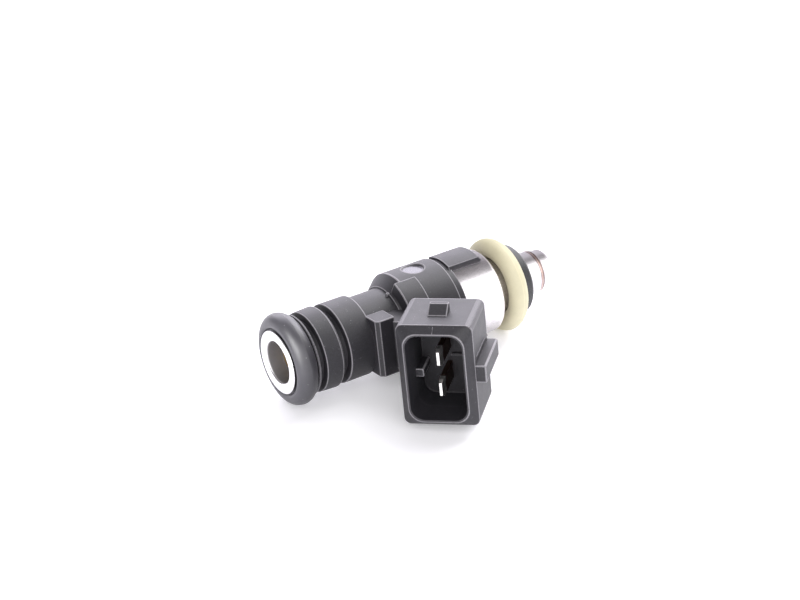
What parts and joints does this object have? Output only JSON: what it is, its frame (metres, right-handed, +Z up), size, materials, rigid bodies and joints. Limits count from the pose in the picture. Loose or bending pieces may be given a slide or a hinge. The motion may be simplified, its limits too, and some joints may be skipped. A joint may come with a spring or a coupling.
{
  "type": "fuel injector",
  "caption": "Port fuel injector with inlet tube, clip groove, leaning two-blade plug hood, magnet coil, spring-closed ball valve, spray plate and sealing rings.",
  "frame": {"origin": "centre of the fuel inlet's mouth, on the injector's axis", "axes": "+X along the injector from the fuel inlet to the spray tip, +Z up as it lies on its seals and plug hood, -Y towards the plug hood"},
  "size_m": [0.0502, 0.0335, 0.0192],
  "materials": {
    "black_plastic": "glass-filled moulded plastic, satin",
    "ring_plastic": "plain moulded plastic, satin",
    "dark_rubber": "smooth moulded rubber",
    "pale_rubber": "smooth moulded rubber, pale",
    "polished_steel": "deep-drawn stainless, polished",
    "satin_steel": "turned and plated, satin",
    "tip_steel": "stainless with heat tint beside the weld",
    "core_steel": "machined soft-magnetic steel",
    "spring_steel": "drawn spring wire",
    "ball_steel": "ground and polished",
    "tinned_blade": "tinned copper alloy",
    "filter_brass": "drawn brass",
    "filter_plastic": "unfilled moulded plastic",
    "filter_weave": "fine woven screen",
    "bobbin_plastic": "moulded plastic",
    "enamelled_wire": "enamelled copper winding"
  },
  "bodies": {
    "injector_body": {"body_moulding": "black_plastic", "upper_o_ring": "dark_rubber", "lower_o_ring": "pale_rubber", "support_ring": "ring_plastic", "inlet_tube": "polished_steel", "filter_collar": "filter_brass", "filter_frame": "filter_plastic", "filter_mesh": "filter_weave", "adjusting_sleeve": "core_steel", "return_spring": "spring_steel", "pole_core": "core_steel", "valve_sleeve": "tip_steel", "valve_seat": "tip_steel", "orifice_plate": "tip_steel", "coil_bobbin": "bobbin_plastic", "coil_winding": "enamelled_wire", "magnet_housing": "satin_steel", "magnet_cover": "core_steel", "terminal_upper": "tinned_blade", "terminal_lower": "tinned_blade"},
    "valve_needle": {"armature": "core_steel", "needle_tube": "core_steel", "valve_ball": "ball_steel"}
  },
  "joints": [
    {"name": "valve_lift", "type": "slide", "parent": "injector_body", "child": "valve_needle", "axis": [-1, 0, 0], "range_m": [0, 0.00008], "stiffness_N_per_m": 3000, "springref_m": -0.001, "deforming": ["return_spring"]}
  ]
}
